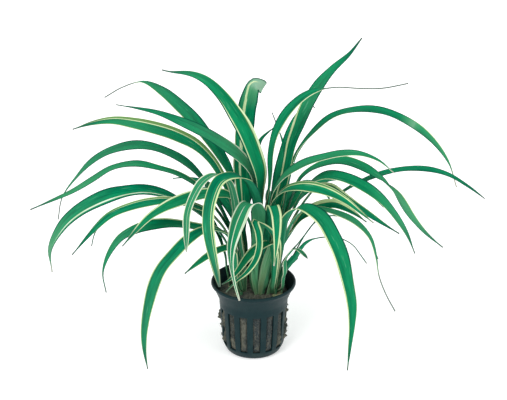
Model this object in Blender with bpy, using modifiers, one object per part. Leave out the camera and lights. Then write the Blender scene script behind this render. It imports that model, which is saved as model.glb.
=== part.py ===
"""Potted chlorophytum: a variegated, grass-like rosette plant in a slotted net pot filled with rock wool.

Lengths are written in millimetres and turned into metres by MM. The origin is the middle of the pot's
underside, +Z is up, +X runs to the viewer's right and -Y towards the viewer.
"""
import math

import bmesh
import bpy
import numpy as np
from mathutils import Matrix, Vector, kdtree, noise

MM = 0.001

# The net pot: its outside, from the lip down to the foot, and its slots
RIM_RADIUS = 27.5
POT_HEIGHT = 49.0
LIP_DEPTH = 3.2
LIP_OVERHANG = 1.9
SHOULDER_RADIUS = 23.8
SHOULDER_HEIGHT = 39.0
WALL_TOP_RADIUS = 22.2
WALL_TOP_HEIGHT = 34.0
FOOT_RADIUS = 20.4
FOOT_HEIGHT = 7.0
BASE_RADIUS = 18.2
BASE_ROUNDING = 2.2
WALL = 1.3
POT_STEPS = 64
SLOTS = 15
SLOT_WIDTH = 5.0
SLOT_BOTTOM = 5.5
SLOT_TOP = 32.0
SLOT_REACH = 14.0
FLOOR_SLOTS = 8
FLOOR_SLOT_WIDTH = 2.6
FLOOR_SLOT_INNER = 7.0
FLOOR_SLOT_OUTER = 14.0

# The rock wool, and the crowns that are planted in it
GAP = 0.3
WOOL_TOP = 41.0
WOOL_SHOULDER = 38.6
WOOL_LUMP = 1.8
WOOL_LUMP_SIZE = 6.0
WOOL_STEPS = 40
CROWN_TOP = 44.0
CROWN_DEPTH = 14.0
CROWN_TAPER = 1.5
CROWN_SIDES = 14

# The leaves; a share is a part of a blade's length, counted from its foot
BLADE = 0.7
FOOT_GAP = 0.8
STATIONS = 14
FOOT_WIDTH = 3.0
TIP_WIDTH = 0.9
WIDEST_SHARE = 0.5
TAPER = 1.9
NECK_SPREAD = 1.5
FOOT_FOLD = 24
BLADE_FOLD = 13
FOLD_EASED_SHARE = 0.4
TURNED_SHARE = 0.5
LEAN_START_SHARE = 0.3
LEAN_FULL_SHARE = 0.65

# How the blades are eased apart: the room kept between them, and how often and how finely it is looked at
EASE_CLEAR = 2.0
EASE_ROUNDS = 60
EASE_STEP = 0.8
EASE_FINENESS = 4


def clear_scene():
    """Start from an empty file."""
    for thing in list(bpy.data.objects):
        bpy.data.objects.remove(thing)


def collection(name):
    group = bpy.data.collections.new(name)
    bpy.context.scene.collection.children.link(group)
    return group


def material(name, colour, roughness, metallic=0.0):
    made = bpy.data.materials.new(name)
    made.use_nodes = True
    surface = made.node_tree.nodes["Principled BSDF"]
    surface.inputs["Base Color"].default_value = (*colour, 1.0)
    surface.inputs["Roughness"].default_value = roughness
    surface.inputs["Metallic"].default_value = metallic
    made.diffuse_color = (*colour, 1.0)
    return made


def add_object(name, bm, group, finish=None):
    """Turn a bmesh in millimetres into a named object in metres."""
    bmesh.ops.scale(bm, vec=(MM, MM, MM), verts=bm.verts)
    mesh = bpy.data.meshes.new(name)
    bm.to_mesh(mesh)
    bm.free()
    mesh.shade_smooth()
    thing = bpy.data.objects.new(name, mesh)
    if finish:
        mesh.materials.append(finish)
    group.objects.link(thing)
    return thing


def add_cutter(name, bm, group):
    cutter = add_object(name, bm, group)
    cutter.hide_render = True
    cutter.display_type = "WIRE"
    return cutter


def cut(thing, cutter):
    boolean = thing.modifiers.new("cut", "BOOLEAN")
    boolean.operation = "DIFFERENCE"
    boolean.solver = "EXACT"
    boolean.object = cutter


def turned(name, profile, steps, group, finish):
    """A solid turned about Z: its profile starts and ends on the axis and comes down on the outside."""
    bm = bmesh.new()
    corners = [bm.verts.new((radius, 0, height)) for radius, height in profile]
    for pair in zip(corners, corners[1:]):
        bm.edges.new(pair)
    thing = add_object(name, bm, group, finish)
    screw = thing.modifiers.new("turn", "SCREW")
    screw.steps = steps
    screw.render_steps = steps
    screw.use_merge_vertices = True
    screw.merge_threshold = 0.00001
    screw.use_smooth_shade = True
    return thing


def outer_radius(height):
    """The outside radius of the pot's wall and collar at a height above its foot."""
    heights = [FOOT_HEIGHT, WALL_TOP_HEIGHT, SHOULDER_HEIGHT, POT_HEIGHT - LIP_DEPTH]
    radii = [FOOT_RADIUS, WALL_TOP_RADIUS, SHOULDER_RADIUS, RIM_RADIUS - LIP_OVERHANG]
    return float(np.interp(height, heights, radii))


def spokes(bm, count, turn, inner, outer, width, low, high):
    """Add boxes that stand round the axis like spokes, from the inner to the outer radius."""
    for number in range(count):
        box = bmesh.ops.create_cube(bm, size=1.0)["verts"]
        bmesh.ops.scale(bm, vec=(outer - inner, width, high - low), verts=box)
        bmesh.ops.translate(bm, vec=((outer + inner) / 2, 0, (high + low) / 2), verts=box)
        bmesh.ops.rotate(bm, matrix=Matrix.Rotation(math.tau * (number + turn) / count, 3, "Z"), verts=box)


def make_pot(group, cutters):
    """The net pot: one moulding with a rolled lip, a flared collar, and slots in its wall and its floor."""
    heights = [POT_HEIGHT - LIP_DEPTH, SHOULDER_HEIGHT, WALL_TOP_HEIGHT, FOOT_HEIGHT]
    outside = [(outer_radius(height), height) for height in heights]
    inside = [(radius - WALL, height) for radius, height in reversed(outside)]
    lip = [(RIM_RADIUS - LIP_OVERHANG, POT_HEIGHT - WALL / 2), (RIM_RADIUS - WALL, POT_HEIGHT),
           (RIM_RADIUS - WALL / 4, POT_HEIGHT - WALL / 4), (RIM_RADIUS, POT_HEIGHT - WALL),
           (RIM_RADIUS, POT_HEIGHT - LIP_DEPTH + WALL / 2), (RIM_RADIUS - WALL, POT_HEIGHT - LIP_DEPTH)]
    rounding = [(BASE_RADIUS - BASE_ROUNDING * (1 - math.cos(angle)), BASE_ROUNDING * (1 - math.sin(angle)))
                for angle in np.radians([10, 35, 60, 90])]
    floor = [(0, WALL), (BASE_RADIUS - BASE_ROUNDING, WALL), (BASE_RADIUS - WALL / 2, WALL + BASE_ROUNDING)]
    profile = floor + inside + lip + outside + rounding + [(0, 0)]
    pot = turned("net_pot", profile, POT_STEPS, group, material("pot_plastic", (0.012, 0.022, 0.026), 0.38))

    bm = bmesh.new()
    spokes(bm, SLOTS, 0.5, WALL_TOP_RADIUS - SLOT_REACH / 2, WALL_TOP_RADIUS + SLOT_REACH / 2, SLOT_WIDTH,
           SLOT_BOTTOM, SLOT_TOP)
    spokes(bm, FLOOR_SLOTS, 0.25, FLOOR_SLOT_INNER, FLOOR_SLOT_OUTER, FLOOR_SLOT_WIDTH, -WALL, 2 * WALL)
    cut(pot, add_cutter("slot_cutters", bm, cutters))


# Each crown: where it stands, its radius, the neck that its bundle of leaves passes through, and its leaves.
# Each leaf: its seat on the crown (the direction that it faces in degrees, how far out it stands, and how
# much of the way up to the neck it keeps to the bundle), its width, the lean of its upper face towards the
# viewer in degrees, and the places that its midrib passes through from there to its tip.
CROWNS = {
    "main": ((3, -5), 5.4, (5, -6, 88), [
        ((180, 2.6, 1), 10, 30, [(1, -3, 116), (-6, -1, 133), (-27, 4, 148), (-58, 7, 162), (-86, 8, 168)]),
        ((180, 1.3, 1), 13, 45, [(4, -3, 122), (0, 0, 138), (-8, 5, 155), (-27, 9, 179), (-45, 12, 188),
                                 (-57, 13, 190)]),
        ((190, 4.0, 1), 10, 25, [(-15, -2, 109), (-29, -9, 114), (-45, -18, 114), (-64, -31, 109),
                                 (-81, -42, 94)]),
        ((262, 3.4, 1), 9, 0, [(1, -10, 114), (-8, -18, 130), (-22, -33, 133), (-27, -44, 116),
                               (-24, -51, 96), (-19, -57, 73)]),
        ((246, 4.8, 1), 11, 0, [(1, -13, 106), (-4, -19, 111), (-10, -32, 102), (-13, -45, 86),
                                (-8, -57, 64)]),
        ((310, 4.9, 1), 8, 0, [(12, -14, 108), (15, -22, 106), (15, -33, 94), (15, -42, 81)]),
        ((340, 4.0, 1), 9, 8, [(14, -10, 111), (23, -14, 120), (36, -20, 124), (54, -29, 121),
                               (74, -38, 108)]),
        ((0, 2.6, 1), 9, 16, [(12, -6, 111), (20, -9, 127), (36, -12, 138), (60, -15, 145),
                              (79, -17, 140), (87, -18, 133)]),
        ((0, 1.3, 1), 8, 13, [(11, 0, 121), (14, 6, 145), (23, 8, 164), (40, 9, 178), (61, 8, 180),
                              (96, 6, 183)]),
    ]),
    "back_left": ((-5, 13), 4.6, (-8, 15, 80), [
        ((200, 3.9, 1), 10, 27, [(-15, 20, 113), (-30, 26, 138), (-47, 34, 156), (-72, 42, 170),
                                 (-96, 45, 158)]),
        ((95, -2.6, 1), 12, 10, [(-6, 14, 100), (-7, 17, 126), (-2, 21, 152), (2, 25, 174),
                                 (5, 27, 180), (8, 30, 172), (6, 33, 158), (2, 35, 146)]),
        ((95, -1.0, 1), 5, 10, [(0, 24, 110), (1, 30, 121), (5, 40, 131), (15, 52, 135)]),
        ((95, 0.6, 0.9), 9, 5, [(-28, 34, 100), (-56, 54, 96), (-78, 68, 72)]),
        ((95, 1.9, 0.9), 9, 0, [(-21, 34, 92), (-34, 62, 86), (-46, 92, 60)]),
        ((95, 3.2, 0.9), 10, 0, [(-8, 42, 88), (-9, 76, 76), (-12, 108, 44)]),
        ((95, -0.2, 1), 9, 0, [(-6, 30, 108), (-10, 54, 131), (-20, 79, 133), (-33, 96, 122),
                               (-40, 104, 110)]),
    ]),
    "left": ((-12, 3), 4.6, (-14, 5, 74), [
        ((180, -3.3, 1), 10, 24, [(-19, 9, 114), (-34, 16, 133), (-59, 23, 143), (-91, 28, 149),
                                  (-116, 30, 142)]),
        ((180, -2.0, 1), 9, 11, [(-33, 15, 113), (-53, 20, 129), (-79, 26, 132), (-104, 30, 119),
                                 (-125, 32, 90), (-127, 32, 77)]),
        ((180, -0.7, 1), 8, 7, [(-36, 11, 110), (-59, 7, 124), (-84, 2, 129), (-112, -4, 115),
                                (-141, -8, 103)]),
        ((180, 0.6, 1), 8, 16, [(-25, -2, 94), (-38, -9, 106), (-58, -15, 112), (-83, -21, 108),
                                (-102, -24, 92), (-114, -26, 80)]),
        ((180, 1.9, 0.9), 10, 30, [(-33, 7, 91), (-55, 4, 107), (-77, -4, 114), (-107, -16, 106),
                                   (-125, -26, 88), (-124, -31, 71)]),
        ((180, 3.2, 0.8), 8, 5, [(-38, 20, 84), (-74, 31, 82), (-98, 39, 68), (-105, 41, 56)]),
    ]),
    "front_left": ((-8, -8), 4.6, (-10, -9, 62), [
        ((225, -2.0, 1), 7, 0, [(-13, -13, 116), (-20, -17, 130), (-30, -26, 132), (-40, -40, 118),
                                (-41, -52, 95)]),
        ((225, -0.7, 1), 10, 25, [(-17, -6, 85), (-32, -8, 90), (-58, -19, 98), (-81, -34, 97),
                                  (-91, -44, 82), (-90, -50, 66)]),
        ((225, 0.6, 1), 9.5, 10, [(-14, -12, 84), (-20, -20, 93), (-32, -29, 98), (-48, -38, 88),
                                  (-61, -46, 71), (-66, -54, 45), (-65, -58, 16)]),
        ((225, 1.9, 0.9), 7, 10, [(-14, -18, 80), (-24, -26, 82), (-34, -32, 78), (-43, -36, 72)]),
    ]),
    "back_right": ((7, 13), 4.6, (12, 14, 80), [
        ((340, 3.9, 1), 9, 5, [(25, 19, 122), (37, 26, 140), (56, 28, 154), (81, 26, 156),
                               (107, 21, 145), (124, 16, 126), (130, 13, 109)]),
        ((75, -2.6, 1), 10, 15, [(20, 15, 113), (25, 20, 139), (36, 24, 163), (50, 30, 180),
                                 (62, 34, 191), (69, 36, 202)]),
        ((75, -1.3, 1), 4.5, 0, [(21, 24, 113), (20, 32, 128), (15, 40, 141), (12, 44, 148)]),
        ((75, 0.3, 0.9), 9, 0, [(38, 34, 100), (66, 54, 94), (88, 70, 68)]),
        ((75, 1.6, 0.9), 9, 0, [(26, 42, 92), (42, 70, 86), (54, 94, 60)]),
        ((75, 2.9, 0.9), 9, 0, [(12, 44, 86), (14, 80, 74), (15, 110, 42)]),
        ((75, -0.5, 1), 8, 0, [(17, 32, 110), (26, 53, 134), (36, 74, 141), (41, 86, 134)]),
    ]),
    "right": ((15, 5), 4.6, (19, 6, 74), [
        ((350, -2.6, 1), 9, 19, [(26, 9, 108), (36, 6, 124), (58, 2, 132), (83, -6, 121),
                                 (99, -14, 104), (120, -20, 83)]),
        ((350, -1.3, 1), 10, 18, [(29, 2, 104), (37, -4, 120), (51, -12, 128), (73, -24, 123),
                                  (91, -34, 106), (100, -40, 88)]),
        ((350, 0, 1), 7, 10, [(37, 8, 107), (48, 2, 114), (62, -4, 106), (82, -12, 95), (92, -16, 90)]),
        ((350, 1.3, 0.4), 8, 2, [(31, 8, 74), (50, 8, 101), (71, 8, 116), (100, 8, 124), (125, 6, 120),
                                 (147, 2, 106)]),
        ((350, 2.6, 0.4), 8, 0, [(44, 20, 76), (70, 29, 74), (84, 34, 60)]),
    ]),
    "front_right": ((14, -6), 5.0, (17, -7, 62), [
        ((320, -2.6, 1), 9, 10, [(27, 2, 87), (34, 0, 97), (49, -6, 106), (61, -12, 104), (71, -18, 99)]),
        ((320, -1.3, 1), 7, 5, [(25, -8, 94), (36, -14, 106), (58, -26, 106), (73, -35, 95),
                                (80, -42, 73), (91, -46, 52)]),
        ((320, 0, 1), 12, 10, [(19, -16, 97), (26, -24, 110), (35, -29, 113), (50, -42, 94),
                               (59, -50, 68), (61, -53, 48), (59, -56, 14)]),
        ((320, 1.3, 0.4), 6, 0, [(30, -11, 78), (44, -17, 88), (60, -24, 88), (71, -30, 76)]),
        ((320, 2.6, 0.7), 4, 0, [(24, -15, 77), (29, -20, 80), (34, -25, 77)]),
        ((240, 3.3, 0.7), 8, 0, [(12, -19, 89), (3, -22, 100), (5, -27, 91), (-1, -34, 76),
                                 (-19, -39, 66)]),
        ((240, 4.6, 0.7), 8, 0, [(11, -13, 77), (6, -18, 79), (-3, -25, 72), (-12, -33, 63),
                                 (-17, -36, 59)]),
    ]),
}


def smooth_route(places, fineness=12):
    """A smooth curve (Catmull-Rom) through the places, as closely spaced points."""
    points = [2 * places[0] - places[1], *places, 2 * places[-1] - places[-2]]
    route = []
    for before, start, end, after in zip(points, points[1:], points[2:], points[3:]):
        slope = end - before
        bend = 2 * before - 5 * start + 4 * end - after
        twist = 3 * start - before - 3 * end + after
        for t in (step / fineness for step in range(fineness)):
            route.append(start + (slope * t + bend * t ** 2 + twist * t ** 3) / 2)
    route.append(places[-1])
    return route


def even_stations(route, count):
    """The route's points at even distances along it."""
    run = np.cumsum([0] + [(b - a).length for a, b in zip(route, route[1:])])
    wanted = np.linspace(0, run[-1], count)
    columns = [np.interp(wanted, run, [point[axis] for point in route]) for axis in range(3)]
    return [Vector(place) for place in zip(*columns)]


def blade_width(share, widest):
    """A blade's width at a share of its length: a narrow foot, full at the middle, a long thin tip."""
    if share < WIDEST_SHARE:
        rise = (1 - math.cos(math.pi * share / WIDEST_SHARE)) / 2
        return FOOT_WIDTH + rise * (widest - FOOT_WIDTH)
    fall = 1 - ((share - WIDEST_SHARE) / (1 - WIDEST_SHARE)) ** TAPER
    return TIP_WIDTH + fall * (widest - TIP_WIDTH)


class Leaf:
    """One blade's midrib and the values that set the strip which is laid along it."""

    def __init__(self, name, crown, neck, seat, width, lean, places):
        facing, radius, keep = seat
        self.name = name
        self.width = width
        self.lean = lean
        self.facing = Vector((math.cos(math.radians(facing)), math.sin(math.radians(facing)), 0))
        foot = Vector((*crown, CROWN_TOP + FOOT_GAP)) + radius * self.facing
        bundled = foot.lerp(Vector(neck) + NECK_SPREAD * radius * self.facing, keep)
        route = smooth_route([foot, bundled, *(Vector(place) for place in places)])
        self.midrib = even_stations(route, STATIONS)
        self.heading = (self.midrib[-1] - foot) * Vector((1, 1, 0))
        self.heading.normalize()

    def sections(self):
        """For each station the left margin, the midrib and the right margin."""
        rows = []
        for number, place in enumerate(self.midrib):
            share = number / (STATIONS - 1)
            ahead = self.midrib[min(number + 1, STATIONS - 1)]
            behind = self.midrib[max(number - 1, 0)]
            along = (ahead - behind).normalized()
            out = self.facing.lerp(self.heading, min(1, share / TURNED_SHARE)).normalized()
            side = Vector((-out.y, out.x, 0))
            side = (side - side.dot(along) * along).normalized()
            lean = np.interp(share, [LEAN_START_SHARE, LEAN_FULL_SHARE], [0, math.radians(self.lean)])
            side.rotate(Matrix.Rotation(math.copysign(lean, self.heading.x), 3, along))
            up = along.cross(side)
            half = blade_width(share, self.width) / 2
            fold = math.radians(np.interp(share, [0, FOLD_EASED_SHARE], [FOOT_FOLD, BLADE_FOLD]))
            level, rise = half * math.cos(fold), half * math.sin(fold)
            rows.append([place - level * side + rise * up, place, place + level * side + rise * up])
        return rows


def crowding(points, per_leaf):
    """For each point the pushes from other leaves' points that are too near, summed, and their number."""
    tree = kdtree.KDTree(len(points))
    for number, point in enumerate(points):
        tree.insert(point, number)
    tree.balance()
    pushes = np.zeros_like(points)
    close = np.zeros(len(points))
    for number, point in enumerate(points):
        for other, index, distance in tree.find_range(point, EASE_CLEAR):
            if index // per_leaf != number // per_leaf:
                pushes[number] += (point - np.array(other)) / distance * (EASE_CLEAR - distance) / 2
                close[number] += 1
    return pushes, close


def ease_apart(leaves):
    """Bend the blades clear of each other, a little at a time, as growing leaves push each other aside."""
    along = np.linspace(0, STATIONS - 1, (STATIONS - 1) * EASE_FINENESS + 1)
    weights = np.clip(1 - np.abs(along[:, None] - np.arange(STATIONS)), 0, 1)
    across = np.array([[1, 0, 0], [0.5, 0.5, 0], [0, 1, 0], [0, 0.5, 0.5], [0, 0, 1]])
    for _ in range(EASE_ROUNDS):
        samples = [np.einsum("sk,kcx,ac->sax", weights, np.array(leaf.sections()), across) for leaf in leaves]
        pushes, close = crowding(np.concatenate(samples).reshape(-1, 3), len(along) * len(across))
        pushes = pushes.reshape(len(leaves), len(along), len(across), 3).sum(axis=2)
        close = close.reshape(len(leaves), len(along), len(across)).sum(axis=2)
        for leaf, push, count in zip(leaves, pushes, close):
            step = weights.T @ push / np.maximum(weights.T @ count, 1)[:, None]
            step[0] = 0
            step[1:-1] = (step[:-2] + 2 * step[1:-1] + step[2:]) / 4
            leaf.midrib = [place + Vector(EASE_STEP * move) for place, move in zip(leaf.midrib, step)]


def build_leaf(leaf, group, finish):
    """The strip laid along the midrib, folded in a shallow V, then given its thickness."""
    bm = bmesh.new()
    bmesh.ops.create_grid(bm, x_segments=STATIONS - 1, y_segments=2, size=0.5)
    places = [place for row in leaf.sections() for place in row]
    for vert, place in zip(sorted(bm.verts, key=lambda vert: (round(vert.co.x, 4), vert.co.y)), places):
        vert.co = place
    bmesh.ops.triangulate(bm, faces=bm.faces)
    blade = add_object(leaf.name, bm, group, finish)
    thick = blade.modifiers.new("thickness", "SOLIDIFY")
    thick.thickness = BLADE * MM
    thick.offset = 0


def crown_cone(bm, place, radius, drop):
    """Add a crown's short tapering stub to the bmesh, or with a drop the hole that it stands in."""
    cone = bmesh.ops.create_cone(bm, cap_ends=True, segments=CROWN_SIDES, radius1=radius - CROWN_TAPER,
                                 radius2=radius, depth=CROWN_DEPTH)["verts"]
    bmesh.ops.translate(bm, vec=(*place, CROWN_TOP - CROWN_DEPTH / 2 - drop), verts=cone)


def make_crowns_and_leaves(group, cutters):
    """The rhizomes, each with its own rosette; returns the cutter for their planting holes."""
    flesh = material("rhizome", (0.42, 0.52, 0.28), 0.6)
    green = material("leaf_green", (0.01, 0.24, 0.09), 0.42)
    holes = bmesh.new()
    leaves = []
    for crown, (place, radius, neck, rosette) in CROWNS.items():
        stub = bmesh.new()
        crown_cone(stub, place, radius, 0)
        add_object(f"crown_{crown}", stub, group, flesh)
        crown_cone(holes, place, radius + GAP, GAP)
        for number, (seat, width, lean, places) in enumerate(rosette, start=1):
            leaves.append(Leaf(f"leaf_{crown}_{number:02d}", place, neck, seat, width, lean, places))
    ease_apart(leaves)
    for leaf in leaves:
        build_leaf(leaf, group, green)
    return add_cutter("planting_holes", holes, cutters)


def make_wool(group, holes):
    """The plug of rock wool: it fills the pot to the collar, and its top is lumpy."""
    bottom = WALL + GAP
    heights = (FOOT_HEIGHT, WALL_TOP_HEIGHT, WOOL_SHOULDER)
    sides = [(outer_radius(height) - WALL - GAP, height) for height in heights]
    edge = sides[-1][0] - 1
    foot = [(0, bottom), (BASE_RADIUS - BASE_ROUNDING - WALL, bottom),
            (BASE_RADIUS - WALL, bottom + BASE_ROUNDING)]
    top = [(edge * share, WOOL_TOP) for share in (1, 0.68, 0.34, 0)]
    bm = bmesh.new()
    line = [bm.verts.new((radius, 0, height)) for radius, height in foot + sides + top]
    edges = [bm.edges.new(pair) for pair in zip(line, line[1:])]
    bmesh.ops.spin(bm, geom=line + edges, cent=(0, 0, 0), axis=(0, 0, 1), angle=math.tau, steps=WOOL_STEPS,
                   use_merge=True)
    bmesh.ops.remove_doubles(bm, verts=bm.verts, dist=0.001)
    bmesh.ops.recalc_face_normals(bm, faces=bm.faces)
    for vert in bm.verts:
        if vert.co.z > WOOL_TOP - GAP and vert.co.xy.length < 0.9 * edge:
            vert.co.z += WOOL_LUMP * noise.noise(vert.co / WOOL_LUMP_SIZE)
    wool = add_object("rock_wool", bm, group, material("rock_wool", (0.17, 0.15, 0.115), 0.95))
    cut(wool, holes)


def main():
    clear_scene()
    group = collection("potted_chlorophytum")
    cutters = collection("cutters")
    make_pot(group, cutters)
    holes = make_crowns_and_leaves(group, cutters)
    make_wool(group, holes)


main()
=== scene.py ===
"""Potted chlorophytum: a variegated, grass-like rosette plant in a slotted net pot filled with rock wool.

Sizes are written in millimetres and turned into metres by MM. Each piece is built in place, in the frame of
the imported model: the origin is the middle of the pot's underside, +Z is up and -Y runs towards the viewer.
"""
import math
import random

import bmesh
import bpy
import numpy as np
from mathutils import Matrix, Vector, noise


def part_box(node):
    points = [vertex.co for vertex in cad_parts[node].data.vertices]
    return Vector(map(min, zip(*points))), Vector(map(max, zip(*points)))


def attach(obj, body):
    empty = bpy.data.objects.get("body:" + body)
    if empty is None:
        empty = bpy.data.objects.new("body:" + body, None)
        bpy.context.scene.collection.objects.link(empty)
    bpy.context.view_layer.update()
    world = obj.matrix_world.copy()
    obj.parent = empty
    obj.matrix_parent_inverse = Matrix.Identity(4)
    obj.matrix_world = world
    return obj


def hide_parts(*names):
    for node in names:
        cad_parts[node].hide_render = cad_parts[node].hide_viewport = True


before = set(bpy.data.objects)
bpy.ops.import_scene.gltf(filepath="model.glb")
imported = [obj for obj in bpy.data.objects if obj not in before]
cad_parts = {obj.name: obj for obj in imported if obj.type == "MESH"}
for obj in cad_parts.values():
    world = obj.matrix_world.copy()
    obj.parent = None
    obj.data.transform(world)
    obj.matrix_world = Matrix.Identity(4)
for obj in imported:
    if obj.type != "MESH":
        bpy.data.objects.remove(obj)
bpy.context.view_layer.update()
MM = 0.001


# The net pot
# One moulding of dark slate-teal polypropylene: a floor and a wall with slots for the roots, a flared
# collar, and a lip rolled outwards. It stands on its foot and carries everything else.
RIM_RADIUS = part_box("net_pot")[1].x / MM
POT_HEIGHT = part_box("net_pot")[1].z / MM
WALL = 1.3
COLUMNS = 240
COLUMN = math.tau / COLUMNS
SLOTS = 15
SLOT_SPAN = 9 * COLUMN
SLOT_BOTTOM = 5.5
SLOT_TOP = 32.0
FLOOR_SLOTS = 8
FLOOR_SLOT_SPAN = 8 * COLUMN
FLOOR_SLOT_INNER = 7.0
FLOOR_SLOT_OUTER = 14.0
SLOT_EDGE = 0.22
SLOT_ROWS = 8
LIP_RADIUS = 0.8
LIP_RISE = 1.35
LIP_DROP = 1.0
SHARP_ANGLE = math.radians(50)

# How far round the middle of the first slot lies, as a share of the way from one slot to the next
WALL_SLOT_TURN = 0.5
FLOOR_SLOT_TURN = 0.25

# The wall's outline outside: its heights at the foot and in the flare, and the radii at all its heights
FOOT_HEIGHTS = [2.4, 3.9]
FLARE_HEIGHTS = [34, 36.2, 37.8, 39.8, 42.0, 44.2, 45.9]
OUTSIDE_HEIGHTS = FOOT_HEIGHTS + [SLOT_BOTTOM, 7] + FLARE_HEIGHTS
OUTSIDE_RADII = [18.6, 19.4, 20.0, 20.4, 22.2, 22.3, 22.7, 23.5, 24.4, 25.4, 26.2]


class Value:
    """A socket of a material's nodes that can be reckoned with: each sign adds a Math node."""

    def __init__(self, finish, socket):
        self.finish = finish
        self.socket = socket

    def __add__(self, other):
        return self.finish.math("ADD", self, other)

    def __sub__(self, other):
        return self.finish.math("SUBTRACT", self, other)

    def __rsub__(self, other):
        return self.finish.math("SUBTRACT", other, self)

    def __mul__(self, other):
        return self.finish.math("MULTIPLY", self, other)

    def __abs__(self):
        return self.finish.math("ABSOLUTE", self)

    __radd__ = __add__
    __rmul__ = __mul__


class Finish:
    """A material: its Principled shader, with what is the same all over, and the nodes that feed it."""

    def __init__(self, name, **same_all_over):
        self.material = bpy.data.materials.new(name)
        self.material.use_nodes = True
        self.tree = self.material.node_tree
        self.shader = self.tree.nodes["Principled BSDF"]
        for socket, value in same_all_over.items():
            self.shader.inputs[socket.replace("_", " ").title().replace("Ior", "IOR")].default_value = value

    def node(self, kind, settings=(), sockets=(), output=0):
        """Add a node: its settings first, then its sockets' values or links."""
        made = self.tree.nodes.new("ShaderNode" + kind)
        for name, setting in dict(settings).items():
            setattr(made, name, setting)
        for socket, value in dict(sockets).items():
            if isinstance(value, Value):
                self.tree.links.new(value.socket, made.inputs[socket])
            else:
                made.inputs[socket].default_value = value
        return Value(self, made.outputs[output])

    def math(self, operation, *values):
        return self.node("Math", {"operation": operation}, enumerate(values))

    def step(self, value, start, end, low=0.0, high=1.0):
        """A smooth step from low at start to high at end."""
        return self.node("MapRange", {"interpolation_type": "SMOOTHSTEP"},
                         {"Value": value, "From Min": start, "From Max": end, "To Min": low, "To Max": high})

    def mix(self, share, first, second):
        """The first colour, passing to the second as the share goes from 0 to 1."""
        first, second = (side if isinstance(side, Value) else (*side, 1.0) for side in (first, second))
        return self.node("Mix", {"data_type": "RGBA"}, {0: share, 6: first, 7: second}, 2)

    def vector(self, x, y, z):
        return self.node("CombineXYZ", (), {0: x, 1: y, 2: z})

    def parts(self, vector):
        """The three parts of a vector, each a value."""
        split = self.tree.nodes.new("ShaderNodeSeparateXYZ")
        self.tree.links.new(vector.socket, split.inputs[0])
        return [Value(self, output) for output in split.outputs]

    def own(self, name):
        """The vector that the mesh holds under this name at every point."""
        return self.node("Attribute", {"attribute_name": name}, (), "Vector")

    def place(self):
        """Where on the object a point lies, in metres."""
        return self.node("TexCoord", (), (), "Object")

    def cloud(self, scale, detail=3.0, roughness=0.5, at=None):
        """Noise from 0 to 1, on the object's own coordinates unless it is given others."""
        return self.node("TexNoise", (), {"Vector": at or self.place(), "Scale": scale, "Detail": detail,
                                          "Roughness": roughness})

    def feed(self, socket, value):
        self.tree.links.new(value.socket, self.shader.inputs[socket])

    def relief(self, height, depth, strength=1.0):
        """Feed a height from 0 to 1 as relief of a depth in metres."""
        bump = self.node("Bump", (), {"Strength": strength, "Distance": depth, "Height": height})
        self.feed("Normal", bump)


def turn_outline(outline, steps, start=0.0):
    """A bmesh of an outline of (radius, height) pairs, turned about the upright axis from a start angle."""
    bm = bmesh.new()
    line = [bm.verts.new((radius, 0, height)) for radius, height in outline]
    edges = [bm.edges.new(pair) for pair in zip(line, line[1:])]
    bmesh.ops.rotate(bm, matrix=Matrix.Rotation(start, 3, "Z"), verts=line)
    bmesh.ops.spin(bm, geom=line + edges, cent=(0, 0, 0), axis=(0, 0, 1), angle=math.tau, steps=steps,
                   use_merge=True)
    bmesh.ops.remove_doubles(bm, verts=bm.verts, dist=0.001)
    return bm


def add_piece(name, bm, nodes, slot, *finishes):
    """Turn a bmesh in millimetres into a piece in metres that stands for these nodes of the model."""
    bmesh.ops.scale(bm, vec=(MM, MM, MM), verts=bm.verts)
    mesh = bpy.data.meshes.new(name)
    bm.to_mesh(mesh)
    bm.free()
    mesh.shade_smooth()
    for finish in finishes:
        mesh.materials.append(finish.material)
    piece = bpy.data.objects.new(name, mesh)
    bpy.context.scene.collection.objects.link(piece)
    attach(piece, "root")
    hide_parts(*nodes)
    return piece


def off_centre(angle, count, turn):
    """How far an angle is from the middle of the nearest of the slots that stand evenly round the axis."""
    pitch = math.tau / count
    return (angle - turn * pitch + pitch / 2) % pitch - pitch / 2


def pot_outside(height):
    return float(np.interp(height, OUTSIDE_HEIGHTS, OUTSIDE_RADII))


def pot_profile():
    """The pot's outline from the middle of its underside, up the outside, over the lip and down inside."""
    slot_heights = list(np.linspace(SLOT_BOTTOM, SLOT_TOP, SLOT_ROWS))
    underside = [(0, 0), (FLOOR_SLOT_INNER, 0), (FLOOR_SLOT_OUTER, 0), (16.2, 0), (17.2, 0.4), (18.0, 1.2)]
    outside = [(pot_outside(height), height) for height in FOOT_HEIGHTS + slot_heights + FLARE_HEIGHTS]
    lip_out, lip_up = RIM_RADIUS - LIP_RADIUS, POT_HEIGHT - LIP_RISE
    lip = [(lip_out + LIP_RADIUS * math.cos(turn),
            lip_up + (LIP_RISE if turn > 0 else LIP_DROP) * math.sin(turn))
           for turn in np.radians(range(-75, 166, 30))]
    inside = [(radius - WALL, height) for radius, height in reversed(outside) if height >= SLOT_BOTTOM]
    floor = [(17.6, 3.4), (16.6, 2.0), (15.6, WALL)]
    floor += [(FLOOR_SLOT_OUTER, WALL), (FLOOR_SLOT_INNER, WALL), (0, WALL)]
    return underside + outside + lip + inside + floor


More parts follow.
